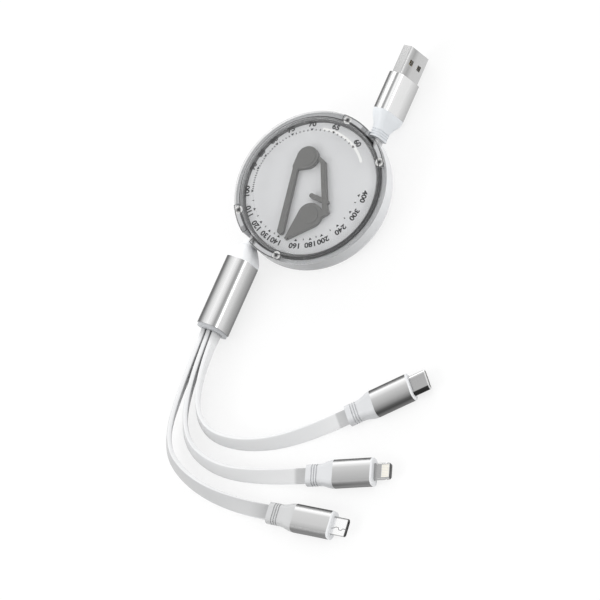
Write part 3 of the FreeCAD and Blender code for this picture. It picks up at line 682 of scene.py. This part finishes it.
# which pieces wear which finish: the solids by name, then the pieces made here
finishes = {
    "whiteShell": ("rear_shell",), "clear": ("clear_cover",), "screwSteel": ("lug_screws",),
    "darkDeck": ("deck_plate",), "dialGrey": ("dial_plate",), "leverGrey": ("upper_lever", "lower_lever"),
    "reelGrey": ("reel",), "steel": ("micro_b_latches", "clock_spring"),
    "cordWhite": ("wound_cord", "type_a_lead", "tail_lead", "type_c_cord", "eight_pin_cord", "micro_b_cord"),
    "bootWide": ("type_a_boot",), "bootSplit": ("splitter_boot",), "capWhite": ("splitter_cap",),
    "bootSmall": ("type_c_boot", "eight_pin_boot"), "bootMicro": ("micro_b_boot",),
    "bootWhite": ("type_c_collar", "eight_pin_collar", "micro_b_collar"),
    "alloyWide": ("type_a_sleeve",), "alloySplit": ("splitter_sleeve",), "satinC": ("type_c_sleeve",),
    "satinEight": ("eight_pin_sleeve",), "satinMicro": ("micro_b_sleeve",), "tipA": ("type_a_shell",),
    "tipC": ("type_c_shell",), "tipEight": ("eight_pin_tab",), "tipMicro": ("micro_b_shell",),
    "gold": ("type_a_contacts", "type_c_contacts", "micro_b_contacts"), "paleGold": ("eight_pin_contacts",),
    "inlayWhite": ("type_a_tongue", "eight_pin_inlay", "type_c_insulator"),
    "blackPlastic": ("micro_b_tongue",),
}
ownFinishes = {
    "flatCord": cords.values(), "cordWhite": leads.values(), "printBlack": (scalePrint,),
    "inlayWhite": (paintedScaleHighlight, rings["pale"]), "darkDeck": (seam, rings["dark"]), "rimShine": (rings["soft"],),
}


def dress(obj, material):
    obj.data.materials.clear()
    obj.data.materials.append(material)


for name, nodeNames in finishes.items():
    for n in nodeNames:
        dress(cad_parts[n], materials[name])
for name, pieces in ownFinishes.items():
    for piece in pieces:
        dress(piece, materials[name])
print("materials done")

# studio: pale floor, a bright sky with one dark side near the camera, three soft lights;
# a light is its name, place, aim, size and power
studio = {"floorSide": 6.0, "floorHeight": -0.00005, "floorColour": (0.93, 0.93, 0.93, 1),
          "floorRough": 0.6, "floorShine": 0.2, "floorGlow": 0.75, "white": (1, 1, 1, 1),
          "sky": 1.0, "darkWay": (-0.45, -0.55, 0.70), "darkEnds": (0.70, 0.93), "darkDepth": 0.35,
          "horizon": 0.6, "horizonEnds": (0.0, 0.35),
          "lights": (("backStrip", (0.55, 0.55, 0.35), (-0.03, -0.03, 0), (0.6, 0.25), 1.6),
                     ("frontStrip", (0.15, -0.75, 0.35), (-0.03, -0.03, 0), (0.7, 0.2), 0.9),
                     ("leftSoft", (-0.75, 0.45, 0.6), (-0.05, -0.02, 0), (0.6, 0.4), 3.0))}


def seenRay(base):
    # one for a ray from the camera, a mirror or clear plastic
    kinds = ("Is Camera Ray", "Is Glossy Ray", "Is Transmission Ray")
    camera, mirror, clear = [base.add("ShaderNodeLightPath", out=kind) for kind in kinds]
    return base.sum("MINIMUM", camera + mirror + clear, 1.0)


def buildFloor(studio):
    # a plain square that glows white in part where it is seen, so that only part of a shadow shows
    half, height = studio["floorSide"] / 2, studio["floorHeight"]
    corners = [(-half, -half, height), (half, -half, height), (half, half, height), (-half, half, height)]
    floor = addMesh("floor", np.array(corners), [[0, 1, 2, 3]], False)
    material, base, shader = newSurface("floorPale")
    shader.inputs["Base Color"].default_value = studio["floorColour"]
    shader.inputs["Roughness"].default_value = studio["floorRough"]
    shader.inputs["Specular IOR Level"].default_value = studio["floorShine"]
    lit = Sock(base.tree, shader.outputs[0])
    glow = base.add("ShaderNodeEmission", values={0: studio["white"], 1: 1.0})
    share = seenRay(base) * studio["floorGlow"]
    part = base.add("ShaderNodeMixShader", values={0: share, 1: lit, 2: glow})
    part.feed(base.tree.nodes["Material Output"], "Surface")
    dress(floor, material)


def buildLights(studio):
    # each light faces along the way from its place to its aim
    for name, at, aim, size, power in studio["lights"]:
        data = bpy.data.lights.new(name, "AREA")
        data.shape = "RECTANGLE"
        data.size, data.size_y = size
        data.energy = power
        light = bpy.data.objects.new(name, data)
        light.location = at
        light.rotation_mode = "QUATERNION"
        light.rotation_quaternion = (Vector(aim) - Vector(at)).to_track_quat("-Z", "Y")
        scene.collection.objects.link(light)


def buildSky(studio):
    # level falls towards the horizon and round the dark way; a seen ray meets plain white
    world = bpy.data.worlds.new("world")
    world.use_nodes = True
    scene.world = world
    tree = world.node_tree
    tree.nodes.clear()
    base = Sock(tree)
    way = base.add("ShaderNodeTexCoord", out="Generated")
    height = base.add("ShaderNodeSeparateXYZ", values={0: way}, out=2)
    dark = ranged(towards(way, studio["darkWay"]), studio["darkEnds"], kind="SMOOTHSTEP")
    low = ranged(height, studio["horizonEnds"], (studio["horizon"], 1.0), "SMOOTHSTEP")
    level = studio["sky"] * low * (1 - dark * studio["darkDepth"])
    sky = base.add("ShaderNodeBackground", values={0: studio["white"], 1: level})
    white = base.add("ShaderNodeBackground", values={0: studio["white"], 1: 1.0})
    both = base.add("ShaderNodeMixShader", values={0: seenRay(base), 1: sky, 2: white})
    both.feed(tree.nodes.new("ShaderNodeOutputWorld"), "Surface")


buildFloor(studio)
buildLights(studio)
buildSky(studio)
print("studio done")
